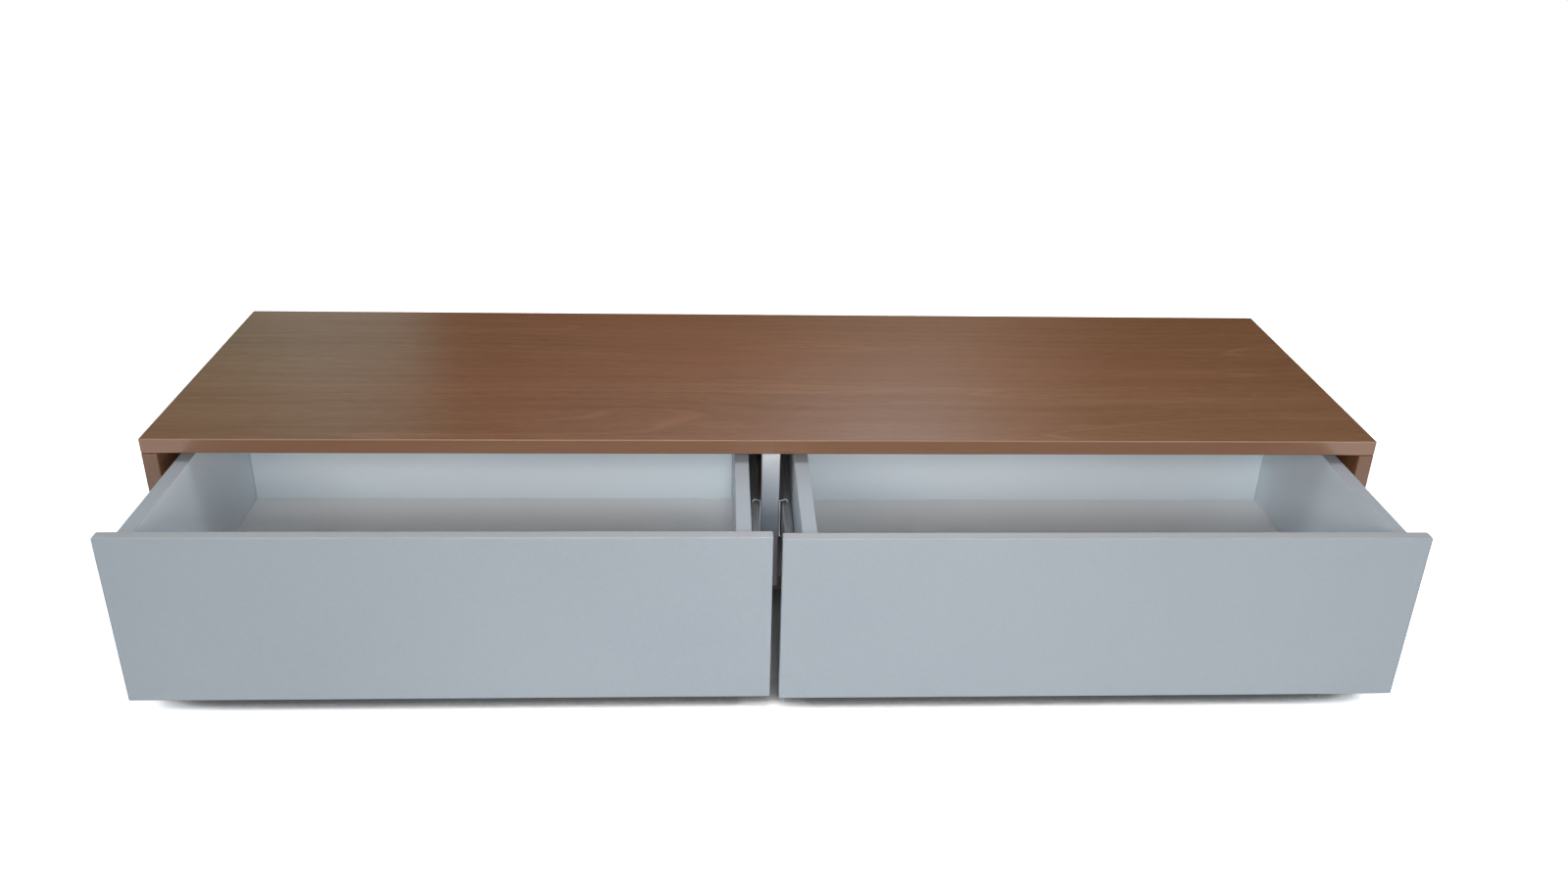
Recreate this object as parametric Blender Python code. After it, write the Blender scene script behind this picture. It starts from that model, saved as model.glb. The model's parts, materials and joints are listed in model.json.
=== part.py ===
"""Floating sideboard: a veneered wall cabinet with two white drawers on ball-bearing slides.

Metres, +Z up. X runs along the cabinet, the wall is the plane y = 0 and the drawers open
towards -Y. The origin is the centre of the wall rail's back face. Every piece is modelled as
it lies with the drawers shut, and an empty for each sliding stage draws its pieces out.
"""

import math

import bmesh
import bpy
from mathutils import Vector

# Outside of the cabinet
WIDTH = 1.200
DEPTH = 0.345
HEIGHT = 0.190
SEAT_GAP = 0.0003  # between pieces that are fixed to each other
CUT_OVERRUN = 0.002  # how far a cutter passes the face it opens

# Boards of the carcase
TOP_THICKNESS = 0.015
SIDE_THICKNESS = 0.015
BOTTOM_THICKNESS = 0.015
DIVIDER_THICKNESS = 0.018
DIVIDER_SETBACK = 0.002  # behind the drawer fronts' back faces
EDGE_STRIP_THICKNESS = 0.002
BACK_THICKNESS = 0.006
BACK_GROOVE_DEPTH = 0.007
FINGER_RECESS = 0.020  # from the drawer fronts' back faces to the bottom panel's front edge
BOARD_EASE = 0.0008  # softened edges

# Hanging rails behind the back panel
RAIL_THICKNESS = 0.015
RAIL_HEIGHT = 0.055
WALL_RAIL_END_CLEARANCE = 0.008
SPACER_HEIGHT = 0.040
RAIL_HOLE_DIAMETER = 0.005
RAIL_HOLE_SHARES = (-0.84, -0.34, 0.34, 0.84)  # of half the wall rail's length

# Drawer fronts
FRONT_THICKNESS = 0.012
FRONT_REVEAL = 0.0025  # to the side panels and to the top
FRONT_MIDDLE_GAP = 0.008
FRONT_BOTTOM_REVEAL = 0.003
FRONT_EASE = 0.0012

# Drawer boxes
DRAWER_SIDE_THICKNESS = 0.014
DRAWER_BACK_THICKNESS = 0.012
DRAWER_BOTTOM_THICKNESS = 0.006
DRAWER_BOTTOM_LIFT = 0.013
DRAWER_GROOVE_DEPTH = 0.006
DRAWER_TOP_CLEARANCE = 0.010
DRAWER_BOTTOM_CLEARANCE = 0.010
DRAWER_REAR_CLEARANCE = 0.0055
DRAWER_EASE = 0.0006
DOWEL_DIAMETER = 0.008
DOWEL_LENGTH = 0.030
DOWEL_FRONT_DEPTH = 0.008
DOWEL_HEIGHT_SHARES = {"lower": 0.22, "upper": 0.80}  # of a drawer side's height

# How far each drawer stands open
LEFT_OPENING = 0.156
RIGHT_OPENING = 0.159

# Ball-bearing slides
SLIDE_THICKNESS = 0.0127
SLIDE_HEIGHT = 0.045
SLIDE_SETBACK = 0.003  # behind the drawer fronts' back faces
SLIDE_REAR_CLEARANCE = 0.0084
SLIDE_CENTRE_SHARE = 0.5  # of a drawer side's height
TRAVEL_SHARE = 1.0  # full extension: the drawer comes out by the slide's length
CABINET_STEEL = 0.0012
MIDDLE_STEEL = 0.0010
DRAWER_STEEL = 0.0012
CAGE_STEEL = 0.0005
WEB_GAP = 0.0004  # between the flat webs that lie one behind the other
FOLD_RADIUS = 0.0012
BALL_DIAMETER = 0.0036
BALL_CLEARANCE = 0.00025
OUTER_BALL_DEPTH = 0.0056  # from the cabinet side of the slide
INNER_BALL_DEPTH = 0.0078
BALLS_IN_A_ROW = 5
CAGE_MARGIN = 0.011
CAGE_END = 0.008  # from a cage's end to its first ball
CAGE_REACH = 0.0010  # of a cage's flange past the middle of its balls
CAGE_FLANGE_OFFSET = 0.0005  # of a cage's flange from the middle of its balls

# Outlines of the raceways, in degrees round the balls
CABINET_RACEWAY = (150, -15)
MIDDLE_RACEWAY_START = 240
MIDDLE_RACEWAY_END = -10
DRAWER_RACEWAY = (300, 200)
ARC_STEP = 27

# Screw holes of the members, as shares of their length
SCREW_HOLE_DIAMETER = 0.0045
ACCESS_HOLE_DIAMETER = 0.009
CABINET_HOLE_SHARES = (0.10, 0.45, 0.88)
DRAWER_HOLE_SHARES = (0.08, 0.70, 0.93)
HOLE_SIDES = 12

# Stops and the release lever
STOP_LENGTH = 0.007
STOP_END_GAP = 0.0010
STOP_HEIGHT = 0.030
STOP_DEPTH = 0.0078
STOP_EASE = 0.0008
TAB_SETBACK = 0.008
TAB_LENGTH = 0.0025
TAB_REACH = 0.0092  # from the cabinet side of the slide
TAB_LOW = 0.0027
TAB_HEIGHT = 0.0023
CATCH_CLEARANCE = 0.0015
LEVER_THICKNESS = 0.0016
LEVER_NOSE_REACH = 0.012  # behind the rivet
LEVER_NOSE_LENGTH = 0.006
LEVER_NOSE_DEPTH = 0.0024
LEVER_NOSE_HEIGHT = 0.008
LEVER_HANDLE_REACH = 0.055  # in front of the rivet
LEVER_HANDLE_WIDTH = 0.007
LEVER_BOSS_RADIUS = 0.0048
LEVER_TIP_STEPS = 6
RIVET_RADIUS = 0.0015
RIVET_HEAD_RADIUS = 0.0023
RIVET_HEAD_THICKNESS = 0.0005
RIVET_CLEARANCE = 0.0003

# Finishes: colour, roughness, metallic
FINISHES = {
    "wood_veneer": ((0.24, 0.125, 0.065, 1), 0.42, 0),
    "pale_edging": ((0.62, 0.63, 0.64, 1), 0.5, 0),
    "raw_board": ((0.30, 0.19, 0.11, 1), 0.8, 0),
    "rail_timber": ((0.55, 0.38, 0.22, 1), 0.75, 0),
    "white_lacquer": ((0.62, 0.66, 0.70, 1), 0.38, 0),
    "white_board": ((0.74, 0.74, 0.73, 1), 0.5, 0),
    "dowel_timber": ((0.60, 0.43, 0.26, 1), 0.7, 0),
    "zinc_steel": ((0.62, 0.63, 0.65, 1), 0.32, 1),
    "cage_steel": ((0.50, 0.51, 0.53, 1), 0.38, 1),
    "black_plastic": ((0.03, 0.03, 0.03, 1), 0.5, 0),
}

# Heights, worked up from the wall rail, whose back face is centred on the origin
bevel_gap = SEAT_GAP * math.sqrt(2)
wall_rail_top = (RAIL_HEIGHT + RAIL_THICKNESS) / 2
wall_rail_bottom = wall_rail_top - RAIL_HEIGHT
cabinet_rail_bottom = wall_rail_top - RAIL_THICKNESS + bevel_gap + SEAT_GAP
cabinet_rail_top = cabinet_rail_bottom + RAIL_HEIGHT
top_underside = cabinet_rail_top + SEAT_GAP
top_surface = top_underside + TOP_THICKNESS
cabinet_bottom = top_surface - HEIGHT
floor_top = cabinet_bottom + BOTTOM_THICKNESS

# Places along X and Y
side_inner_x = WIDTH / 2 - SIDE_THICKNESS
divider_x = DIVIDER_THICKNESS / 2
back_rear_y = -RAIL_THICKNESS - 2 * SEAT_GAP
back_front_y = back_rear_y - BACK_THICKNESS
front_face_y = -DEPTH
front_back_y = front_face_y + FRONT_THICKNESS

# Drawer boxes, shut
slide_space = SLIDE_THICKNESS + 2 * SEAT_GAP
box_inner_x = divider_x + slide_space
box_outer_x = side_inner_x - slide_space
box_top = top_underside - DRAWER_TOP_CLEARANCE
box_bottom = floor_top + DRAWER_BOTTOM_CLEARANCE
box_height = box_top - box_bottom
box_front_y = front_back_y + SEAT_GAP
box_rear_y = back_front_y - DRAWER_REAR_CLEARANCE
drawer_floor_low = box_bottom + DRAWER_BOTTOM_LIFT
drawer_floor_high = drawer_floor_low + DRAWER_BOTTOM_THICKNESS

# Slides, shut: lengths run back from the slide's front end
slide_front_y = front_back_y + SLIDE_SETBACK
slide_length = back_front_y - SLIDE_REAR_CLEARANCE - slide_front_y
slide_travel = slide_length * TRAVEL_SHARE
slide_z = box_bottom + box_height * SLIDE_CENTRE_SHARE
member_length = slide_length - STOP_LENGTH - STOP_END_GAP
cage_start = slide_travel / 4 + CAGE_MARGIN
cage_length = member_length - slide_travel / 2 - 2 * CAGE_MARGIN
catch_place = slide_travel / 2 + TAB_SETBACK + TAB_LENGTH + CATCH_CLEARANCE
rivet_place = catch_place - LEVER_NOSE_REACH

# Cross section of a slide: depth from the cabinet side, height from its middle
ball_radius = BALL_DIAMETER / 2
outer_cage_depth = CABINET_STEEL + WEB_GAP + CAGE_STEEL / 2
middle_web_depth = outer_cage_depth + CAGE_STEEL / 2 + WEB_GAP + MIDDLE_STEEL / 2
inner_cage_depth = middle_web_depth + MIDDLE_STEEL / 2 + WEB_GAP + CAGE_STEEL / 2
drawer_web_depth = SLIDE_THICKNESS - DRAWER_STEEL / 2
cabinet_raceway_radius = ball_radius + BALL_CLEARANCE + CABINET_STEEL / 2
middle_raceway_radius = ball_radius + BALL_CLEARANCE + MIDDLE_STEEL / 2
drawer_raceway_radius = ball_radius + BALL_CLEARANCE + DRAWER_STEEL / 2
outer_ball_height = SLIDE_HEIGHT / 2 - CABINET_STEEL / 2 - cabinet_raceway_radius
ball_rows_apart = math.sqrt(
    (2 * middle_raceway_radius) ** 2 - (INNER_BALL_DEPTH - OUTER_BALL_DEPTH) ** 2
)
inner_ball_height = outer_ball_height - ball_rows_apart
lever_outer_depth = SLIDE_THICKNESS - DRAWER_STEEL - RIVET_CLEARANCE
lever_inner_depth = lever_outer_depth - LEVER_THICKNESS


def clear_scene():
    """Removes what the file opens with."""
    for obj in list(bpy.data.objects):
        bpy.data.objects.remove(obj, do_unlink=True)


def finish(name):
    """The material of this name, made once."""
    known = bpy.data.materials.get(name)
    if known:
        return known
    colour, roughness, metallic = FINISHES[name]
    made = bpy.data.materials.new(name)
    made.use_nodes = True
    shader = made.node_tree.nodes["Principled BSDF"]
    shader.inputs["Base Color"].default_value = colour
    shader.inputs["Roughness"].default_value = roughness
    shader.inputs["Metallic"].default_value = metallic
    made.diffuse_color = colour
    return made


def add_object(name, mesh, parent=None):
    """A new object in the scene, under its parent."""
    obj = bpy.data.objects.new(name, mesh)
    bpy.context.scene.collection.objects.link(obj)
    obj.parent = parent
    return obj


def mesh_from(shape, name, finish_name):
    """The finished mesh of a bmesh, with its faces pointing out."""
    shape.normal_update()
    bmesh.ops.recalc_face_normals(shape, faces=shape.faces)
    mesh = bpy.data.meshes.new(name)
    shape.to_mesh(mesh)
    shape.free()
    mesh.materials.append(finish(finish_name))
    return mesh


def stage(name, parent, opening):
    """An empty that carries the pieces of one sliding stage, drawn out by the opening."""
    carrier = add_object(name, None, parent)
    carrier.location = (0, -opening, 0)
    return carrier


def soften(obj, width, segments=1):
    """Eases the sharp edges of a board."""
    bevel = obj.modifiers.new("eased_edges", "BEVEL")
    bevel.width = width
    bevel.segments = segments


def box_mesh(name, size, finish_name):
    """A box of this size about its middle."""
    shape = bmesh.new()
    bmesh.ops.create_cube(shape, size=1)
    bmesh.ops.scale(shape, vec=size, verts=shape.verts)
    return mesh_from(shape, name, finish_name)


def board(name, low, high, finish_name, parent=None, ease=BOARD_EASE, segments=1):
    """A board between two corners, with eased edges."""
    low, high = Vector(low), Vector(high)
    obj = add_object(name, box_mesh(name, high - low, finish_name), parent)
    obj.location = (low + high) / 2
    if ease:
        soften(obj, ease, segments)
    return obj


def spanned(sign, near, far):
    """Two distances from the middle of the cabinet, as low and high X on the side of the sign."""
    return min(sign * near, sign * far), max(sign * near, sign * far)


def as_cutter(obj):
    """Keeps a helper out of the render."""
    obj.hide_render = True
    obj.display_type = "WIRE"
    return obj


def cut(target, cutter, operation="DIFFERENCE", solver="EXACT"):
    """Cuts a helper out of the target, or joins it on."""
    boolean = target.modifiers.new(cutter.name, "BOOLEAN")
    boolean.operation = operation
    boolean.solver = solver
    boolean.object = as_cutter(cutter)


def groove(target, low, high):
    """A square slot cut in a board."""
    cut(target, board("groove_of_" + target.name, low, high, "raw_board", target.parent, ease=0))


def rod_mesh(name, radius, start, end, finish_name, sides=HOLE_SIDES, axis="Y"):
    """A rod along Y or X, from start to end."""
    shape = bmesh.new()
    bmesh.ops.create_cone(
        shape, cap_ends=True, segments=sides, radius1=radius, radius2=radius, depth=end - start
    )
    for vert in shape.verts:
        along = vert.co.z + (start + end) / 2
        if axis == "Y":
            vert.co = Vector((vert.co.x, along, vert.co.y))
        else:
            vert.co = Vector((along, vert.co.x, vert.co.y))
    return mesh_from(shape, name, finish_name)


def arc(centre, radius, start, end):
    """Points on an arc, with its angles in degrees."""
    steps = max(2, round(abs(end - start) / ARC_STEP))
    angles = [math.radians(start + (end - start) * i / steps) for i in range(steps + 1)]
    return [centre + radius * Vector((math.cos(a), math.sin(a))) for a in angles]


def sheet_outline(path, thickness):
    """The closed outline of a folded sheet whose middle line is the path."""
    upper, lower = [], []
    for i, point in enumerate(path):
        ahead = (path[i + 1] - point).normalized() if i + 1 < len(path) else None
        behind = (point - path[i - 1]).normalized() if i else ahead
        ahead = ahead or behind
        square = Vector((-behind.y, behind.x))
        mitre = (square + Vector((-ahead.y, ahead.x))).normalized()
        reach = mitre * (thickness / 2 / mitre.dot(square))
        upper.append(point + reach)
        lower.append(point - reach)
    return upper + lower[::-1]


def folded_profile(upper_half, thickness):
    """The outline of a rolled member that is alike above and below its middle."""
    lower_half = [Vector((p.x, -p.y)) for p in reversed(upper_half)]
    return sheet_outline(lower_half + upper_half, thickness)


def profile_mesh(name, outline, start, end, finish_name):
    """An outline in depth and height, extruded back from start to end."""
    shape = bmesh.new()
    face = shape.faces.new([shape.verts.new((p.x, start, p.y)) for p in outline])
    drawn = bmesh.ops.extrude_face_region(shape, geom=[face])["geom"]
    moved = [item for item in drawn if isinstance(item, bmesh.types.BMVert)]
    bmesh.ops.translate(shape, verts=moved, vec=(0, end - start, 0))
    return mesh_from(shape, name, finish_name)


def web_fold(web_depth, flange_height, radius, start, end):
    """The bend from a member's flat web into its flange."""
    inward = math.copysign(radius, math.cos(math.radians(end)) - math.cos(math.radians(start)))
    centre = Vector((web_depth + inward, flange_height - radius))
    return arc(centre, radius, start, end)


def cabinet_profile():
    """Web on the cabinet side, flanges curled over the outer balls."""
    ball = Vector((OUTER_BALL_DEPTH, outer_ball_height))
    raceway = arc(ball, cabinet_raceway_radius, *CABINET_RACEWAY)
    fold = web_fold(CABINET_STEEL / 2, raceway[0].y, FOLD_RADIUS, 180, 90)
    return folded_profile(fold + raceway, CABINET_STEEL)


def middle_profile():
    """Flanges that pass under the outer balls and curl over the inner ones."""
    outer = Vector((OUTER_BALL_DEPTH, outer_ball_height))
    inner = Vector((INNER_BALL_DEPTH, inner_ball_height))
    turn = math.degrees(math.atan2(inner.y - outer.y, inner.x - outer.x))
    under = arc(outer, middle_raceway_radius, MIDDLE_RACEWAY_START, turn + 360)
    over = arc(inner, middle_raceway_radius, turn + 180, MIDDLE_RACEWAY_END)
    fold = web_fold(middle_web_depth, under[0].y, FOLD_RADIUS, 180, 90)
    return folded_profile(fold + under + over[1:], MIDDLE_STEEL)


def drawer_profile():
    """Web on the drawer side, flanges curled under the inner balls."""
    ball = Vector((INNER_BALL_DEPTH, inner_ball_height))
    raceway = arc(ball, drawer_raceway_radius, *DRAWER_RACEWAY)
    fold = web_fold(drawer_web_depth, raceway[0].y, FOLD_RADIUS, 0, 90)
    return folded_profile(fold + raceway, DRAWER_STEEL)


def cage_profile(web_depth, ball_depth, flange_height):
    """A thin strip whose flanges hold the balls."""
    fold = web_fold(web_depth, flange_height, FOLD_RADIUS, 180, 90)
    end = Vector((ball_depth + CAGE_REACH, flange_height))
    return folded_profile(fold + [end], CAGE_STEEL)


def evaluated(obj):
    """The object's mesh with its modifiers worked out, after which its helpers go."""
    helpers = [item.object for item in obj.modifiers if item.type == "BOOLEAN"]
    graph = bpy.context.evaluated_depsgraph_get()
    mesh = bpy.data.meshes.new_from_object(obj.evaluated_get(graph))
    for item in [obj] + helpers:
        bpy.data.objects.remove(item)
    return mesh


def pierce(member, web_depth, diameter, shares):
    """Round holes through a member's web."""
    for share in shares:
        reach = web_depth + CUT_OVERRUN
        name = f"hole_{share}_of_{member.name}"
        mesh = rod_mesh(name, diameter / 2, web_depth - CUT_OVERRUN, reach, "zinc_steel", axis="X")
        hole = add_object(name, mesh)
        hole.location = (0, member_length * share, 0)
        cut(member, hole)


def cabinet_member_mesh():
    """The fixed member, with its screw holes."""
    mesh = profile_mesh("cabinet_member", cabinet_profile(), 0, slide_length, "zinc_steel")
    member = add_object("cabinet_member_shape", mesh)
    pierce(member, CABINET_STEEL / 2, SCREW_HOLE_DIAMETER, CABINET_HOLE_SHARES)
    return evaluated(member)


def middle_member_mesh():
    """The middle member, with access holes and the tab that the release lever catches."""
    mesh = profile_mesh("middle_member", middle_profile(), 0, member_length, "zinc_steel")
    member = add_object("middle_member_shape", mesh)
    pierce(member, middle_web_depth, ACCESS_HOLE_DIAMETER, CABINET_HOLE_SHARES)
    low = (middle_web_depth, TAB_SETBACK, TAB_LOW)
    high = (TAB_REACH, TAB_SETBACK + TAB_LENGTH, TAB_LOW + TAB_HEIGHT)
    cut(member, board("catch_tab", low, high, "zinc_steel", ease=0), "UNION")
    return evaluated(member)


def drawer_member_mesh():
    """The member on the drawer, with its screw holes and the lever's rivet."""
    mesh = profile_mesh("drawer_member", drawer_profile(), 0, member_length, "zinc_steel")
    member = add_object("drawer_member_shape", mesh)
    pierce(member, drawer_web_depth, SCREW_HOLE_DIAMETER, DRAWER_HOLE_SHARES)
    head_end = lever_inner_depth - RIVET_CLEARANCE
    head_start = head_end - RIVET_HEAD_THICKNESS
    shank = rod_mesh("shank", RIVET_RADIUS, head_start, drawer_web_depth, "zinc_steel", axis="X")
    head = rod_mesh("head", RIVET_HEAD_RADIUS, head_start, head_end, "zinc_steel", axis="X")
    for mesh in (shank, head):
        rivet = add_object("rivet_" + mesh.name, mesh)
        rivet.location = (0, rivet_place, 0)
        cut(member, rivet, "UNION")
    return evaluated(member)


def cage_mesh(name, web_depth, ball_depth, ball_height, flange_offset):
    """A ball cage with a row of balls in each flange."""
    outline = cage_profile(web_depth, ball_depth, ball_height + flange_offset)
    strip = profile_mesh(name, outline, 0, cage_length, "cage_steel")
    cage = add_object(name + "_shape", strip)
    pitch = (cage_length - 2 * CAGE_END) / (BALLS_IN_A_ROW - 1)
    balls = bmesh.new()
    for height in (ball_height, -ball_height):
        for i in range(BALLS_IN_A_ROW):
            ball = bmesh.ops.create_uvsphere(
                balls, u_segments=6, v_segments=4, radius=ball_radius
            )
            place = (ball_depth, CAGE_END + i * pitch, height)
            bmesh.ops.translate(balls, verts=ball["verts"], vec=place)
    cut(cage, add_object(name + "_balls", mesh_from(balls, name, "cage_steel")), "UNION")
    return evaluated(cage)


def lever_mesh():
    """The release lever about its rivet hole: a tapered handle in front, a catch behind."""
    grip = LEVER_HANDLE_WIDTH / 2
    tip = Vector((-LEVER_HANDLE_REACH + grip, 0))
    outline = [
        tip + grip * Vector((math.sin(a), math.cos(a)))
        for a in (-math.pi * i / LEVER_TIP_STEPS for i in range(LEVER_TIP_STEPS + 1))
    ]
    tail = LEVER_NOSE_REACH + LEVER_NOSE_LENGTH
    nose = LEVER_NOSE_HEIGHT / 2
    outline += [
        Vector((-LEVER_BOSS_RADIUS, -LEVER_BOSS_RADIUS)),
        Vector((LEVER_BOSS_RADIUS, -LEVER_BOSS_RADIUS)),
        Vector((LEVER_NOSE_REACH, -nose)),
        Vector((tail, -nose)),
        Vector((tail, nose)),
        Vector((LEVER_NOSE_REACH, nose)),
        Vector((LEVER_BOSS_RADIUS, LEVER_BOSS_RADIUS)),
        Vector((-LEVER_BOSS_RADIUS, LEVER_BOSS_RADIUS)),
    ]
    shape = bmesh.new()
    face = shape.faces.new([shape.verts.new((lever_inner_depth, p.x, p.y)) for p in outline])
    drawn = bmesh.ops.extrude_face_region(shape, geom=[face])["geom"]
    moved = [item for item in drawn if isinstance(item, bmesh.types.BMVert)]
    bmesh.ops.translate(shape, verts=moved, vec=(LEVER_THICKNESS, 0, 0))
    lever = add_object("lever_shape", mesh_from(shape, "release_lever", "black_plastic"))
    radius = RIVET_RADIUS + RIVET_CLEARANCE
    start, end = lever_inner_depth - CUT_OVERRUN, lever_outer_depth + CUT_OVERRUN
    hole = rod_mesh("rivet_hole", radius, start, end, "black_plastic", axis="X")
    cut(lever, add_object("rivet_hole", hole))
    low = (lever_inner_depth - LEVER_NOSE_DEPTH, LEVER_NOSE_REACH, -nose)
    high = (lever_outer_depth - LEVER_THICKNESS / 2, tail, nose)
    cut(lever, board("lever_nose", low, high, "black_plastic", ease=0), "UNION")
    return evaluated(lever)


def stop_mesh():
    """The moulded buffer that closes the back end of the cabinet member."""
    start = slide_length - STOP_LENGTH
    low = (CABINET_STEEL + SEAT_GAP, start, -STOP_HEIGHT / 2)
    high = (CABINET_STEEL + SEAT_GAP + STOP_DEPTH, slide_length, STOP_HEIGHT / 2)
    stop = board("stop_shape", low, high, "black_plastic", ease=STOP_EASE)
    mesh = evaluated(stop)
    for vert in mesh.vertices:
        vert.co += (Vector(low) + Vector(high)) / 2
    return mesh


def slide_meshes():
    """One mesh for each piece of a slide, shared by the four slides."""
    return {
        "cabinet_member": cabinet_member_mesh(),
        "middle_member": middle_member_mesh(),
        "drawer_member": drawer_member_mesh(),
        "outer_cage": cage_mesh(
            "outer_cage", outer_cage_depth, OUTER_BALL_DEPTH, outer_ball_height, -CAGE_FLANGE_OFFSET
        ),
        "inner_cage": cage_mesh(
            "inner_cage", inner_cage_depth, INNER_BALL_DEPTH, inner_ball_height, CAGE_FLANGE_OFFSET
        ),
        "release_lever": lever_mesh(),
        "rear_stop": stop_mesh(),
    }


def add_slide(name, face_x, hand, meshes, opening, drawer):
    """A slide on the face at face_x. The same slide turned half round serves the other hand."""
    places = {
        "cabinet_member": (None, 0),
        "rear_stop": (None, 0),
        "outer_cage": (stage(name + "_outer_cage_stage", None, opening / 4), cage_start),
        "middle_member": (stage(name + "_middle_stage", None, opening / 2), 0),
        "inner_cage": (stage(name + "_inner_cage_stage", None, opening * 3 / 4), cage_start),
        "drawer_member": (drawer, 0),
        "release_lever": (drawer, rivet_place),
    }
    for piece, (carrier, start) in places.items():
        obj = add_object(f"{name}_{piece}", meshes[piece], carrier)
        obj.location = (face_x, slide_front_y + start, slide_z)
        if hand < 0:
            obj.rotation_euler = (0, math.pi, 0)


def carcase_boards():
    """Top over the two sides, bottom between them and the grooved back panel."""
    half = WIDTH / 2
    panel_half = side_inner_x + BACK_GROOVE_DEPTH - SEAT_GAP
    panel_low = floor_top - BACK_GROOVE_DEPTH + SEAT_GAP
    panel_high = top_underside + BACK_GROOVE_DEPTH - SEAT_GAP
    slot_front, slot_rear = back_front_y - SEAT_GAP, back_rear_y + SEAT_GAP
    board(
        "back_panel",
        (-panel_half, back_front_y, panel_low),
        (panel_half, back_rear_y, panel_high),
        "raw_board",
        ease=0,
    )
    top = board(
        "top_panel",
        (-half, -DEPTH, top_underside),
        (half, 0, top_surface),
        "wood_veneer",
        segments=2,
    )
    groove(
        top,
        (-panel_half - SEAT_GAP, slot_front, top_underside - CUT_OVERRUN),
        (panel_half + SEAT_GAP, slot_rear, panel_high + SEAT_GAP),
    )
    bottom_half = side_inner_x - SEAT_GAP
    bottom = board(
        "bottom_panel",
        (-bottom_half, front_back_y + FINGER_RECESS, cabinet_bottom),
        (bottom_half, 0, floor_top),
        "wood_veneer",
    )
    groove(
        bottom,
        (-half, slot_front, panel_low - SEAT_GAP),
        (half, slot_rear, floor_top + CUT_OVERRUN),
    )
    for name, sign in (("left", -1), ("right", 1)):
        low_x, high_x = spanned(sign, side_inner_x, half)
        side = board(
            name + "_side_panel",
            (low_x, -DEPTH, cabinet_bottom),
            (high_x, 0, top_underside - SEAT_GAP),
            "wood_veneer",
            segments=2,
        )
        low_x, high_x = spanned(sign, side_inner_x - CUT_OVERRUN, panel_half + SEAT_GAP)
        groove(
            side,
            (low_x, slot_front, panel_low - SEAT_GAP),
            (high_x, slot_rear, top_underside + CUT_OVERRUN),
        )


def divider():
    """The board between the drawers and the pale strip on its front edge."""
    strip_front = front_back_y + DIVIDER_SETBACK
    strip_back = strip_front + EDGE_STRIP_THICKNESS
    low, high = floor_top + SEAT_GAP, top_underside - SEAT_GAP
    board(
        "centre_divider",
        (-divider_x, strip_back + SEAT_GAP, low),
        (divider_x, back_front_y - SEAT_GAP, high),
        "wood_veneer",
        ease=0,
    )
    board(
        "divider_edge_strip",
        (-divider_x, strip_front, low),
        (divider_x, strip_back, high),
        "pale_edging",
        ease=BOARD_EASE,
    )


def bevelled_rail(name, half_length, rear_y, corners, finish_name):
    """A rail whose outline, in distance from its back face and height, is given by corners."""
    shape = bmesh.new()
    rim = [shape.verts.new((-half_length, rear_y - depth, height)) for depth, height in corners]
    drawn = bmesh.ops.extrude_face_region(shape, geom=[shape.faces.new(rim)])["geom"]
    moved = [item for item in drawn if isinstance(item, bmesh.types.BMVert)]
    bmesh.ops.translate(shape, verts=moved, vec=(2 * half_length, 0, 0))
    return add_object(name, mesh_from(shape, name, finish_name))


def hanging_rails():
    """Two rails that hook together at 45 degrees, and the spacer below them.

    The exact solver leaves slivers beside the round holes in so long a rail, so they are
    drilled with the manifold one.
    """
    cabinet_corners = (
        (0, cabinet_rail_top),
        (0, cabinet_rail_bottom),
        (RAIL_THICKNESS, cabinet_rail_bottom + RAIL_THICKNESS),
        (RAIL_THICKNESS, cabinet_rail_top),
    )
    half_length = side_inner_x - SEAT_GAP
    bevelled_rail("cabinet_cleat", half_length, -SEAT_GAP, cabinet_corners, "rail_timber")
    wall_corners = (
        (0, wall_rail_bottom),
        (0, wall_rail_top - RAIL_THICKNESS),
        (RAIL_THICKNESS, wall_rail_top),
        (RAIL_THICKNESS, wall_rail_bottom),
    )
    half_length = side_inner_x - WALL_RAIL_END_CLEARANCE
    wall_rail = bevelled_rail("wall_cleat", half_length, 0, wall_corners, "rail_timber")
    for share in RAIL_HOLE_SHARES:
        name = f"wall_screw_hole_{share}"
        start, end = -RAIL_THICKNESS - CUT_OVERRUN, CUT_OVERRUN
        hole = add_object(name, rod_mesh(name, RAIL_HOLE_DIAMETER / 2, start, end, "rail_timber"))
        hole.location = (half_length * share, 0, 0)
        cut(wall_rail, hole, solver="MANIFOLD")
    spacer_low = floor_top + SEAT_GAP
    spacer_half = side_inner_x - SEAT_GAP
    board(
        "lower_spacer",
        (-spacer_half, -RAIL_THICKNESS, spacer_low),
        (spacer_half, 0, spacer_low + SPACER_HEIGHT),
        "rail_timber",
    )


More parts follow.
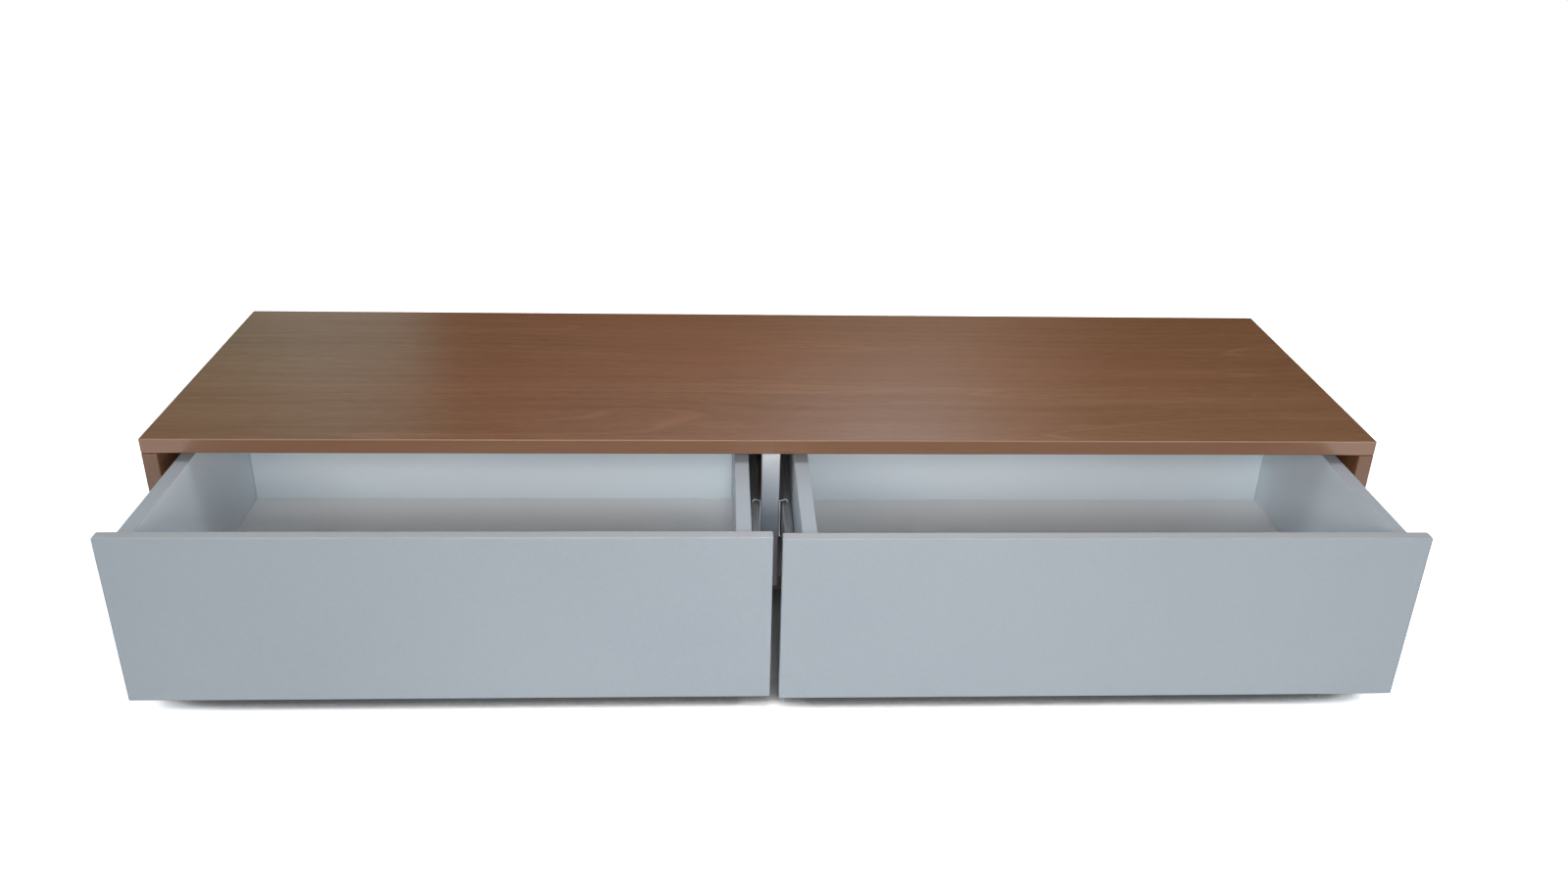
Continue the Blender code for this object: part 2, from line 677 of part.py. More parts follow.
def drawer_box(name, sign, drawer):
    """The white box behind a front: two sides, a back and a bottom held in grooves."""
    slot_low = drawer_floor_low - SEAT_GAP
    slot_high = drawer_floor_high + SEAT_GAP
    side_reach = DRAWER_SIDE_THICKNESS - DRAWER_GROOVE_DEPTH
    spans = {
        "inner": (box_inner_x, box_inner_x + DRAWER_SIDE_THICKNESS),
        "outer": (box_outer_x, box_outer_x - DRAWER_SIDE_THICKNESS),
    }
    sides = {}
    for place, (outside, inside) in spans.items():
        low_x, high_x = spanned(sign, outside, inside)
        side = board(
            f"{name}_{place}_side",
            (low_x, box_front_y, box_bottom),
            (high_x, box_rear_y, box_top),
            "white_board",
            drawer,
            DRAWER_EASE,
        )
        toward = math.copysign(1, inside - outside)
        low_x, high_x = spanned(
            sign, outside + toward * side_reach, inside + toward * CUT_OVERRUN
        )
        groove(
            side,
            (low_x, box_front_y - CUT_OVERRUN, slot_low),
            (high_x, box_rear_y + CUT_OVERRUN, slot_high),
        )
        sides[place] = side
    near = spans["inner"][1] + SEAT_GAP
    far = spans["outer"][1] - SEAT_GAP
    low_x, high_x = spanned(sign, near, far)
    back_front = box_rear_y - DRAWER_BACK_THICKNESS
    back = board(
        name + "_back",
        (low_x, back_front, box_bottom),
        (high_x, box_rear_y, box_top),
        "white_board",
        drawer,
        DRAWER_EASE,
    )
    groove(
        back,
        (low_x - CUT_OVERRUN, back_front - CUT_OVERRUN, slot_low),
        (high_x + CUT_OVERRUN, back_front + DRAWER_GROOVE_DEPTH, slot_high),
    )
    reach = DRAWER_GROOVE_DEPTH - 2 * SEAT_GAP
    low_x, high_x = spanned(sign, near - reach, far + reach)
    board(
        name + "_bottom",
        (low_x, front_back_y - reach, drawer_floor_low),
        (high_x, back_front + reach, drawer_floor_high),
        "white_board",
        drawer,
        ease=0,
    )
    return sides


def drawer_front(name, sign, drawer):
    """The front, set in between the side panel and the middle gap, grooved for the bottom."""
    low_x, high_x = spanned(sign, FRONT_MIDDLE_GAP / 2, side_inner_x - FRONT_REVEAL)
    front = board(
        name + "_front",
        (low_x, front_face_y, cabinet_bottom + FRONT_BOTTOM_REVEAL),
        (high_x, front_back_y, top_underside - FRONT_REVEAL),
        "white_lacquer",
        drawer,
        FRONT_EASE,
        2,
    )
    inset = DRAWER_SIDE_THICKNESS - DRAWER_GROOVE_DEPTH
    low_x, high_x = spanned(sign, box_inner_x + inset, box_outer_x - inset)
    groove(
        front,
        (low_x, front_back_y - DRAWER_GROOVE_DEPTH, drawer_floor_low - SEAT_GAP),
        (high_x, front_back_y + CUT_OVERRUN, drawer_floor_high + SEAT_GAP),
    )
    return front


def front_dowels(name, sign, drawer, front, sides):
    """Dowels from the ends of the drawer sides into the back of the front."""
    start = front_back_y - DOWEL_FRONT_DEPTH
    end = start + DOWEL_LENGTH
    radius = DOWEL_DIAMETER / 2
    half = DRAWER_SIDE_THICKNESS / 2
    middles = {"inner": box_inner_x + half, "outer": box_outer_x - half}
    for place, side in sides.items():
        for level, share in DOWEL_HEIGHT_SHARES.items():
            dowel_name = f"{name}_{place}_{level}_dowel"
            centre = (sign * middles[place], 0, box_bottom + box_height * share)
            mesh = rod_mesh(dowel_name, radius, start, end, "dowel_timber")
            add_object(dowel_name, mesh, drawer).location = centre
            hole_name = dowel_name + "_hole"
            hole_start, hole_end = start - SEAT_GAP, end + SEAT_GAP
            mesh = rod_mesh(hole_name, radius + SEAT_GAP, hole_start, hole_end, "dowel_timber")
            hole = add_object(hole_name, mesh, drawer)
            hole.location = centre
            cut(front, hole)
            cut(side, hole)


def add_drawer(name, sign, opening, meshes):
    """A drawer with the slides on both its sides, drawn out by its opening."""
    drawer = stage(name + "_stage", None, opening)
    front = drawer_front(name, sign, drawer)
    sides = drawer_box(name, sign, drawer)
    front_dowels(name, sign, drawer, front, sides)
    outer_face = sign * (side_inner_x - SEAT_GAP)
    inner_face = sign * (divider_x + SEAT_GAP)
    add_slide(name + "_outer_slide", outer_face, -sign, meshes, opening, drawer)
    add_slide(name + "_inner_slide", inner_face, sign, meshes, opening, drawer)


clear_scene()
carcase_boards()
divider()
hanging_rails()
shared_meshes = slide_meshes()
add_drawer("left_drawer", -1, LEFT_OPENING, shared_meshes)
add_drawer("right_drawer", 1, RIGHT_OPENING, shared_meshes)
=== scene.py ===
"""Floating sideboard with two drawers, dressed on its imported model. Metres, +Z up."""
import json
import math

import bpy
from mathutils import Matrix, Vector

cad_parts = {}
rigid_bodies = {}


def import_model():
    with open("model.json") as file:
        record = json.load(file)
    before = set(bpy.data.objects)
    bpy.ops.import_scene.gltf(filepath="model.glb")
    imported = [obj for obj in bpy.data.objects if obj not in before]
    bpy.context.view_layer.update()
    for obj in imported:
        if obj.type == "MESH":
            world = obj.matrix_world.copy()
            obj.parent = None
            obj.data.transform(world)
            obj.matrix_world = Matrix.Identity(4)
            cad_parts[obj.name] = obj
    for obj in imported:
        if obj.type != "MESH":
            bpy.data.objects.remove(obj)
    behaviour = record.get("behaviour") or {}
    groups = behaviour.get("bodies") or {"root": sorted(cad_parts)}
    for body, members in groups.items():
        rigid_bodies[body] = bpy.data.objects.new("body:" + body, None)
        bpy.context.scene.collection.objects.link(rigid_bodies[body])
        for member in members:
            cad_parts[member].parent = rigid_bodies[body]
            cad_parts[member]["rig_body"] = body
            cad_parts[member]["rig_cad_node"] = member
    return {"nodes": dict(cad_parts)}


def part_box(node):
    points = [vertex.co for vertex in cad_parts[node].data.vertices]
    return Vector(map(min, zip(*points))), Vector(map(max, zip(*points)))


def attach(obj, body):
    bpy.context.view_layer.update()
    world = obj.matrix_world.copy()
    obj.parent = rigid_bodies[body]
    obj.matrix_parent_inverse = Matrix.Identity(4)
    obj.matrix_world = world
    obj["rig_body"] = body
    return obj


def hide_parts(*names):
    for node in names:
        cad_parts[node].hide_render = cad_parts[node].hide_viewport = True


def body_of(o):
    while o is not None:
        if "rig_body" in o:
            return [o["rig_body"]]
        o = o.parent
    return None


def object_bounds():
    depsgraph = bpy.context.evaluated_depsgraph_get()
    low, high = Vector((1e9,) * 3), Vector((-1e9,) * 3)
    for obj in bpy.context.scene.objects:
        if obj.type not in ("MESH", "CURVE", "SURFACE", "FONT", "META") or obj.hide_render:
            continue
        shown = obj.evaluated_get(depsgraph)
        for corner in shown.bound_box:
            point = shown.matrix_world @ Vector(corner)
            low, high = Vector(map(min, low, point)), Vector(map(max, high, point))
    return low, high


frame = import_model()
packed_low, packed_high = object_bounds()
bpy.ops.object.select_all(action="DESELECT")

# The viewpoint: a camera held in front of the sideboard and above it, a little left of its
# middle, tilted down and slightly off level.
CAMERA_PLACE = (-0.0524, -1.4862, 0.6493)
CAMERA_TURN = 3.205  # degrees to the right
CAMERA_TILT = 26.057  # degrees down
CAMERA_ROLL = 1.545
FOCAL_PIXELS = 1340.9  # at the photograph's width
PHOTO_WIDTH = 1600
NEAREST_SEEN = 0.01

bpy.ops.object.camera_add(location=CAMERA_PLACE)
camera = bpy.context.object
camera.name = "viewpoint"
turned = Matrix.Rotation(-math.radians(CAMERA_TURN), 3, "Z")
tilted = Matrix.Rotation(math.radians(90 - CAMERA_TILT), 3, "X")
rolled = Matrix.Rotation(math.radians(CAMERA_ROLL), 3, "Z")
camera.rotation_euler = (turned @ tilted @ rolled).to_euler()
camera.data.lens = FOCAL_PIXELS / PHOTO_WIDTH * camera.data.sensor_width
camera.data.clip_start = NEAREST_SEEN
bpy.context.scene.camera = camera
bpy.context.scene.view_settings.view_transform = "Standard"


# The room: a pale floor close under the sideboard that fades into a white surround, with painted shade
# where the sideboard covers it. The surround is white where it is seen, straight or in a reflection, and
# lights the object more softly.
FLOOR_DROP = 0.012
FLOOR_SIZE = 12.0
FLOOR_ALBEDO = 0.80
FLOOR_GAIN = 3.0  # brings the lit floor to white where it is seen
COVERED_SHADE_GAIN = 0.22  # painted shade: how dark the floor is seen right under the sideboard
COVER_REACH = 0.25  # how far the floor looks for what covers it
COVERED = 0.20  # how open the floor is where it counts as right under the object
OPEN = 0.46  # and where it counts as clear of it
FADE_START = 1.15  # from the middle, where the floor starts to turn into plain white
FADE_END = 1.9
SURROUND_LIGHT = (0.86, 0.93, 1.0, 1)
SURROUND_STRENGTH = 0.176


def add_node(tree, kind, inputs=(), **settings):
    """A new node with its settings. Each input is linked to a socket or set to a value."""
    made = tree.nodes.new(kind)
    for name, value in settings.items():
        setattr(made, name, value)
    for name, value in dict(inputs).items():
        if isinstance(value, bpy.types.NodeSocket):
            tree.links.new(value, made.inputs[name])
        else:
            made.inputs[name].default_value = value
    return made


def seen_rays(tree):
    """A mask that is one for the rays that show something: camera, glossy and transmission."""
    path = add_node(tree, "ShaderNodeLightPath")
    direct = {0: path.outputs["Is Camera Ray"], 1: path.outputs["Is Glossy Ray"]}
    either = add_node(tree, "ShaderNodeMath", direct, operation="MAXIMUM")
    through = {0: either.outputs[0], 1: path.outputs["Is Transmission Ray"]}
    return add_node(tree, "ShaderNodeMath", through, operation="MAXIMUM").outputs[0]


def mix_shaders(tree, factor, first, second):
    """The output of two shaders mixed by a factor."""
    mixed = add_node(tree, "ShaderNodeMixShader", {0: factor, 1: first, 2: second})
    return mixed.outputs[0]


def white_surround():
    """The world: soft light for the object, white for the eye."""
    world = bpy.data.worlds.new("white_surround")
    bpy.context.scene.world = world
    world.use_nodes = True
    tree = world.node_tree
    lighting = tree.nodes["Background"]
    lighting.inputs["Color"].default_value = SURROUND_LIGHT
    lighting.inputs["Strength"].default_value = SURROUND_STRENGTH
    shown = add_node(tree, "ShaderNodeBackground", {"Color": (1, 1, 1, 1)})
    mixed = mix_shaders(tree, seen_rays(tree), lighting.outputs[0], shown.outputs[0])
    tree.links.new(mixed, tree.nodes["World Output"].inputs["Surface"])


def floor_finish():
    """Matt floor that keeps the object's shadow, gets painted shade under the object, and turns into
    plain white further out.
    """
    made = bpy.data.materials.new("pale_floor")
    made.use_nodes = True
    tree = made.node_tree
    tree.nodes.remove(tree.nodes["Principled BSDF"])
    seen = seen_rays(tree)
    place = add_node(tree, "ShaderNodeTexCoord").outputs["Object"]
    # Painted shade: where something covers the floor, it is seen darker.
    openness = add_node(tree, "ShaderNodeAmbientOcclusion", {"Distance": COVER_REACH}).outputs["AO"]
    gains = {"Value": openness, "From Min": COVERED, "From Max": OPEN}
    gains.update({"To Min": COVERED_SHADE_GAIN, "To Max": FLOOR_GAIN})
    gain = add_node(tree, "ShaderNodeMapRange", gains, interpolation_type="SMOOTHSTEP")
    levels = {"Value": seen, "To Min": FLOOR_ALBEDO, "To Max": gain.outputs[0]}
    brightness = add_node(tree, "ShaderNodeMapRange", levels)
    near = add_node(tree, "ShaderNodeBsdfDiffuse", {"Color": brightness.outputs[0]})
    far = add_node(tree, "ShaderNodeEmission")
    distance = add_node(tree, "ShaderNodeVectorMath", {0: place}, operation="LENGTH")
    limits = {"Value": distance.outputs["Value"], "From Min": FADE_START, "From Max": FADE_END}
    fade = add_node(tree, "ShaderNodeMapRange", limits, interpolation_type="SMOOTHSTEP")
    amounts = {0: fade.outputs[0], 1: seen}
    amount = add_node(tree, "ShaderNodeMath", amounts, operation="MULTIPLY")
    mixed = mix_shaders(tree, amount.outputs[0], near.outputs[0], far.outputs[0])
    tree.links.new(mixed, tree.nodes["Material Output"].inputs["Surface"])
    return made


white_surround()
bpy.ops.mesh.primitive_plane_add(size=FLOOR_SIZE, location=(0, 0, packed_low.z - FLOOR_DROP))
bpy.ops.object.transform_apply()
floor = bpy.context.object
floor.name = "studio_floor"
floor.data.materials.append(floor_finish())


# The lamps are white: a wide one far in front and to the left, a small one close to the
# viewpoint that reaches into the open drawers, and soft ones at the right, overhead and behind. A
# panel behind only shows as a faint reflection in the top.
LIGHT_AIM = (0, -0.3, 0)
WINDOW_PLACE = (-1.3, -4.3, 1.95)
WINDOW_SIZE = (3.0, 0.8)
WINDOW_POWER = 49
FILL_PLACE = (-0.02, -1.98, 0.86)
FILL_SIZE = (0.18, 0.56)
FILL_POWER = 3.0
FILL_SPREAD = 95  # degrees
RIGHT_PLACE = (2.3, -2.3, 0.42)
RIGHT_SIZE = (0.8, 0.8)
RIGHT_POWER = 20
REAR_PLACE = (0.8, 3.4, 1.7)
REAR_SIZE = (3.0, 1.5)
REAR_POWER = 24
CEILING_PLACE = (0.12, -0.55, 1.6)
CEILING_SIZE = (1.2, 0.6)
CEILING_POWER = 8.8
OPEN_SPREAD = 180
PANEL_PLACE = (0, 2.6, 1.55)
PANEL_SIZE = (9.0, 2.7)
PANEL_LOW = 1.35
PANEL_HIGH = 1.58
PANEL_STRIPS = (
    (-2.6, (0.26, 0.35, 0.26, 1), (0.12, 0.21, 0.16, 1)),
    (-1.65, (0.35, 0.47, 0.36, 1), (0.16, 0.28, 0.23, 1)),
    (-1.45, (0.53, 0.68, 0.60, 1), (0.26, 0.47, 0.44, 1)),
    (-1.05, (0.48, 0.60, 0.54, 1), (0.24, 0.38, 0.36, 1)),
    (-0.96, (0.13, 0.08, 0.04, 1), (0.10, 0.05, 0.03, 1)),
    (-0.60, (0.15, 0.10, 0.07, 1), (0.38, 0.42, 0.46, 1)),
    (0.00, (0.16, 0.10, 0.05, 1), (0.85, 0.82, 0.82, 1)),
    (0.45, (0.24, 0.20, 0.14, 1), (1.90, 2.05, 2.10, 1)),
    (0.76, (0.28, 0.24, 0.20, 1), (1.95, 2.05, 2.05, 1)),
    (0.84, (0.28, 0.22, 0.16, 1), (1.35, 1.30, 1.15, 1)),
    (1.30, (0.10, 0.06, 0.03, 1), (0.34, 0.36, 0.26, 1)),
)  # where each strip lies across the panel, with its colour low down and high up


def softbox(name, place, size, power, spread=OPEN_SPREAD):
    """A rectangular soft lamp that faces the object, with a grid where its spread is narrow."""
    bpy.ops.object.light_add(type="AREA", location=place)
    lamp = bpy.context.object
    lamp.name = name
    away = Vector(place) - Vector(LIGHT_AIM)
    lamp.rotation_euler = away.to_track_quat("Z", "Y").to_euler()
    lamp.data.shape = "RECTANGLE"
    lamp.data.size, lamp.data.size_y = size
    lamp.data.energy = power
    lamp.data.spread = math.radians(spread)
    lamp.visible_glossy = False  # the white surround is what a gloss shows


def mix_colours(tree, factor, first, second):
    """The colour between two, by a factor. The node's colour sockets are 6 and 7, and 2 comes out."""
    values = {0: factor, 6: first, 7: second}
    return add_node(tree, "ShaderNodeMix", values, data_type="RGBA").outputs[2]


def strips_across(tree, span, column):
    """One row of the panel's strips as a ramp."""
    row = add_node(tree, "ShaderNodeValToRGB", {"Fac": span})
    stops = row.color_ramp.elements
    stops.remove(stops[0])
    stops[0].position = 1
    stops[0].color = PANEL_STRIPS[-1][column]
    for strip in PANEL_STRIPS:
        stops.new(strip[0] / PANEL_SIZE[0] + 0.5).color = strip[column]
    return row.outputs[0]


def panel_glow():
    """The panel's finish: upright strips of dim and brighter light, like a room seen in a gloss."""
    made = bpy.data.materials.new("panel_glow")
    made.use_nodes = True
    tree = made.node_tree
    tree.nodes.remove(tree.nodes["Principled BSDF"])
    place = add_node(tree, "ShaderNodeTexCoord").outputs["Object"]
    split = add_node(tree, "ShaderNodeSeparateXYZ", {0: place})
    half = PANEL_SIZE[0] / 2
    width = {"Value": split.outputs["X"], "From Min": -half, "From Max": half}
    span = add_node(tree, "ShaderNodeMapRange", width).outputs[0]
    height = {"Value": split.outputs["Z"], "From Min": PANEL_LOW, "From Max": PANEL_HIGH}
    rise = add_node(tree, "ShaderNodeMapRange", height).outputs[0]
    colour = mix_colours(tree, rise, strips_across(tree, span, 1), strips_across(tree, span, 2))
    emission = add_node(tree, "ShaderNodeEmission", {"Color": colour})
    tree.links.new(emission.outputs[0], tree.nodes["Material Output"].inputs["Surface"])
    return made


softbox("front_window", WINDOW_PLACE, WINDOW_SIZE, WINDOW_POWER)
softbox("viewpoint_fill", FILL_PLACE, FILL_SIZE, FILL_POWER, FILL_SPREAD)
softbox("right_softbox", RIGHT_PLACE, RIGHT_SIZE, RIGHT_POWER)
softbox("rear_softbox", REAR_PLACE, REAR_SIZE, REAR_POWER)
softbox("ceiling_softbox", CEILING_PLACE, CEILING_SIZE, CEILING_POWER)
bpy.ops.mesh.primitive_plane_add(size=1, location=PANEL_PLACE, rotation=(math.radians(90), 0, 0))
panel = bpy.context.object
panel.name = "reflected_panel"
panel.scale = (PANEL_SIZE[0], PANEL_SIZE[1], 1)
bpy.ops.object.transform_apply()
panel.data.materials.append(panel_glow())
panel.visible_camera = False
panel.visible_diffuse = False
panel.visible_shadow = False


# The carcase boards: fibreboard under a fine straight-grained veneer with satin lacquer. The top
# runs over the sides, whose grain stands upright, as it does on the divider.
VENEER_DARK = (0.172, 0.066, 0.025, 1)
VENEER_LIGHT = (0.315, 0.141, 0.068, 1)
VENEER_RED = (0.262, 0.098, 0.046, 1)
EDGE_TINT = (0.260, 0.140, 0.085, 1)
SIDE_EDGE_TINT = (0.130, 0.055, 0.021, 1)
ARRIS_HIGHLIGHT = (0.42, 0.25, 0.16, 1)
PORE_COLOUR = (0.060, 0.022, 0.010, 1)
EDGE_COVER = 0.8  # how strongly each of these colours lies over the grain
PORE_COVER = 0.22
RED_COVER = 0.55
ARRIS_COVER = 0.55
ARRIS_START, ARRIS_END = 0.0012, 0.00005  # below the top's face, where a highlight is painted along its arris
EDGE_DEPTH = 0.0004  # how far back the front edges' strip of veneer shows
RING_SQUEEZE = 0.040  # along the grain, which draws the rings out into long arches
RING_SCALE = 24
RING_BEND = 1.2
RING_DETAIL = 2
DRIFT = 0.055  # how far the grain wanders sideways
MIDDLE = 0.5  # of a noise's range
LINE_LEVEL = 0.47
LINE_WIDTH = 0.008
LINE_WEIGHT = 0.36
PORE_START, PORE_END = 0.62, 0.70
RED_START, RED_END = 0.45, 0.75
GRAIN_WEIGHTS = (0.12, 0.62, 0.85, 0.60, 1.0)  # of rings, bands, clouds, fibres, short dashes
NOISES = {
    "wander": ((1.3, 4, 4), 2, 0.5),
    "bands": ((0.9, 38, 38), 3, 0.5),
    "clouds": ((2.6, 13, 13), 3, 0.55),
    "redness": ((3.1, 8, 8), 2, 0.5),
    "lines": ((1.1, 11, 11), 1, 0.5),
    "fibres": ((12, 620, 620), 3, 0.65),
    "dashes": ((60, 760, 760), 2, 0.6),
    "pores": ((55, 1500, 1500), 1, 0.5),
}  # each noise's stretch along and across the grain, its detail and its roughness
VENEER_CONTRAST = 1.0
VENEER_BUMP = (0.25, 0.00004)  # strength and depth of the relief
SHEEN_DARK, SHEEN_LIGHT = 0.25, 0.20  # roughness of the dark and the light grain


def new_group(name, inputs, outputs):
    """An empty shader group, with its input and output nodes."""
    tree = bpy.data.node_groups.new(name, "ShaderNodeTree")
    for label, kind in inputs:
        tree.interface.new_socket(label, in_out="INPUT", socket_type=kind)
    for label, kind in outputs:
        tree.interface.new_socket(label, in_out="OUTPUT", socket_type=kind)
    return tree, tree.nodes.new("NodeGroupInput"), tree.nodes.new("NodeGroupOutput")


def arithmetic(tree, operation, first, second):
    """The result of one sum."""
    return add_node(tree, "ShaderNodeMath", {0: first, 1: second}, operation=operation).outputs[0]


def stretched_noise(tree, place, kind):
    """One of the grain's noises, on a place that is scaled along each axis."""
    stretch, detail, roughness = NOISES[kind]
    scaled = {0: place, 1: stretch}
    vector = add_node(tree, "ShaderNodeVectorMath", scaled, operation="MULTIPLY").outputs[0]
    values = {"Vector": vector, "Scale": 1, "Detail": detail, "Roughness": roughness}
    return add_node(tree, "ShaderNodeTexNoise", values).outputs["Fac"]


def grain_group():
    """Wood grain along X: faint arched rings and bands, thin pale lines, fibres and short pores."""
    tree, given, result = new_group(
        "straight_grain",
        (("Place", "NodeSocketVector"), ("Contrast", "NodeSocketFloat")),
        (
            ("Tone", "NodeSocketFloat"),
            ("Redness", "NodeSocketFloat"),
            ("Pores", "NodeSocketFloat"),
            ("Height", "NodeSocketFloat"),
        ),
    )
    place = given.outputs["Place"]
    wander = stretched_noise(tree, place, "wander")
    drift = arithmetic(tree, "MULTIPLY", arithmetic(tree, "SUBTRACT", wander, MIDDLE), DRIFT)
    sideways = add_node(tree, "ShaderNodeCombineXYZ", {"Y": drift, "Z": drift}).outputs[0]
    moved = add_node(tree, "ShaderNodeVectorMath", {0: place, 1: sideways}).outputs[0]
    squeezed = {0: moved, 1: (RING_SQUEEZE, 1, 1)}
    ring_place = add_node(tree, "ShaderNodeVectorMath", squeezed, operation="MULTIPLY").outputs[0]
    rings = add_node(
        tree,
        "ShaderNodeTexWave",
        {"Vector": ring_place, "Scale": RING_SCALE, "Distortion": RING_BEND, "Detail": RING_DETAIL},
        wave_type="RINGS",
        rings_direction="SPHERICAL",
    ).outputs["Fac"]
    bands = stretched_noise(tree, moved, "bands")
    clouds = stretched_noise(tree, moved, "clouds")
    redness = stretched_noise(tree, moved, "redness")
    above_line = arithmetic(tree, "SUBTRACT", stretched_noise(tree, moved, "lines"), LINE_LEVEL)
    from_line = arithmetic(tree, "ABSOLUTE", above_line, 0)
    line_limits = {"Value": from_line, "From Max": LINE_WIDTH, "To Min": 1, "To Max": 0}
    lines = add_node(tree, "ShaderNodeMapRange", line_limits).outputs[0]
    fibres = stretched_noise(tree, place, "fibres")
    dashes = stretched_noise(tree, place, "dashes")
    pore_noise = stretched_noise(tree, place, "pores")
    pore_limits = {"Value": pore_noise, "From Min": PORE_START, "From Max": PORE_END}
    pores = add_node(tree, "ShaderNodeMapRange", pore_limits).outputs[0]
    sum_of = arithmetic(tree, "MULTIPLY", lines, LINE_WEIGHT)
    parts = (rings, bands, clouds, fibres, dashes)
    for part, weight in zip(parts, GRAIN_WEIGHTS):
        centred = arithmetic(tree, "SUBTRACT", part, MIDDLE)
        sum_of = arithmetic(tree, "ADD", sum_of, arithmetic(tree, "MULTIPLY", centred, weight))
    scaled = arithmetic(tree, "MULTIPLY", sum_of, given.outputs["Contrast"])
    tree.links.new(arithmetic(tree, "ADD", scaled, MIDDLE), result.inputs["Tone"])
    tree.links.new(redness, result.inputs["Redness"])
    tree.links.new(pores, result.inputs["Pores"])
    tree.links.new(arithmetic(tree, "SUBTRACT", fibres, pores), result.inputs["Height"])
    return tree


def new_surface(name, values):
    """A material, its node tree and its shader with the plain values set."""
    made = bpy.data.materials.new(name)
    made.use_nodes = True
    shader = made.node_tree.nodes["Principled BSDF"]
    for label, value in values.items():
        shader.inputs[label].default_value = value
    return made, made.node_tree, shader


def grain(tree, turn, offset, contrast):
    """The grain group on Object coordinates, turned so that it runs along its board."""
    place = add_node(tree, "ShaderNodeTexCoord").outputs["Object"]
    turned = [math.radians(angle) for angle in turn]
    mapping = {"Vector": place, "Location": offset, "Rotation": turned}
    mapped = add_node(tree, "ShaderNodeMapping", mapping)
    made = tree.nodes.new("ShaderNodeGroup")
    made.node_tree = straight_grain
    tree.links.new(mapped.outputs[0], made.inputs["Place"])
    made.inputs["Contrast"].default_value = contrast
    return made


def bump(tree, shader, height, strength, distance):
    """A fine relief on the shader's normal."""
    values = {"Height": height, "Strength": strength, "Distance": distance}
    made = add_node(tree, "ShaderNodeBump", values)
    tree.links.new(made.outputs[0], shader.inputs["Normal"])


def between(tree, value, low, high):
    """A mask that is one where a value lies between two others."""
    above = arithmetic(tree, "GREATER_THAN", value, low)
    return arithmetic(tree, "MULTIPLY", above, arithmetic(tree, "LESS_THAN", value, high))


def veneer(name, turn, offset, front_edge, edging):
    """Satin lacquered veneer with its edging on the front edge and a painted highlight on the top's
    arris.
    """
    made, tree, shader = new_surface(name, {"Specular IOR Level": 0.5})
    figure = grain(tree, turn, offset, VENEER_CONTRAST)
    colour = mix_colours(tree, figure.outputs["Tone"], VENEER_DARK, VENEER_LIGHT)
    reds = {"Value": figure.outputs["Redness"], "From Min": RED_START, "From Max": RED_END}
    reds["To Max"] = RED_COVER
    reddened = add_node(tree, "ShaderNodeMapRange", reds).outputs[0]
    colour = mix_colours(tree, reddened, colour, VENEER_RED)
    on_pores = arithmetic(tree, "MULTIPLY", figure.outputs["Pores"], PORE_COVER)
    colour = mix_colours(tree, on_pores, colour, PORE_COLOUR)
    place = add_node(tree, "ShaderNodeTexCoord").outputs["Object"]
    split = add_node(tree, "ShaderNodeSeparateXYZ", {0: place})
    front = arithmetic(tree, "LESS_THAN", split.outputs["Y"], front_edge + EDGE_DEPTH)
    on_edge = arithmetic(tree, "MULTIPLY", front, EDGE_COVER)
    colour = mix_colours(tree, on_edge, colour, edging)
    # A painted highlight along the top's front arris.
    arris_low, arris_high = TOP_HEIGHT - ARRIS_START, TOP_HEIGHT - ARRIS_END
    highlit = between(tree, split.outputs["Z"], arris_low, arris_high)
    on_arris = arithmetic(tree, "MULTIPLY", highlit, ARRIS_COVER)
    colour = mix_colours(tree, on_arris, colour, ARRIS_HIGHLIGHT)
    tree.links.new(colour, shader.inputs["Base Color"])
    levels = {"Value": figure.outputs["Tone"], "To Min": SHEEN_DARK, "To Max": SHEEN_LIGHT}
    sheen = add_node(tree, "ShaderNodeMapRange", levels)
    tree.links.new(sheen.outputs[0], shader.inputs["Roughness"])
    bump(tree, shader, figure.outputs["Height"], *VENEER_BUMP)
    return made


def dress(finish, *names):
    """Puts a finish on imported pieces."""
    for name in names:
        frame["nodes"][name].material_slots[0].material = finish


TOP_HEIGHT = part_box("top_panel")[1].z
straight_grain = grain_group()
FLAT, UPRIGHT = (0, 0, 0), (0, 90, 0)
BOARDS = (
    ("top_panel", FLAT, (-0.12, 0.335, 0.02), EDGE_TINT),
    ("left_side_panel", UPRIGHT, (0.3, 0.15, 0.7), SIDE_EDGE_TINT),
    ("right_side_panel", UPRIGHT, (0.1, 0.25, -0.6), SIDE_EDGE_TINT),
    ("centre_divider", UPRIGHT, (0.2, 0.1, 0.1), EDGE_TINT),
)  # each with the grain's turn and its offset along the log, and its front edging
for name, turn, offset, edging in BOARDS:
    dress(veneer("veneer_" + name, turn, offset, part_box(name)[0].y, edging), name)


# The centre divider: a veneered board between the drawers. Its front edge carries a pale matt
# strip that shows above the drawer fronts.
STRIP_SHADE = (0.82, 0.86, 0.89, 1)
STRIP_COLOUR = (0.90, 0.93, 0.95, 1)
STRIP_TEXTURE = (900, 0.00002, 0.25)  # scale, relief and share of the speckle
STRIP_PAINTED_SHADE = (0.292, 0.325, 0.385, 1)  # painted shade: darker further down, where the drawers shade the strip
STRIP_FADE = 0.078  # how far down the strip has turned to that
STRIP_GAP_SHADE = (0.310, 0.285, 0.310, 1)  # painted shade on its lowest part, which shows in the gap between the fronts
STRIP_SEEN = (0.092, 0.104)  # how far down the one turns into the other
PEEL_DETAIL = 2
PEEL_ROUGHNESS = 0.6
PEEL_STRENGTH = 0.3
CLOUD_SCALE = 5


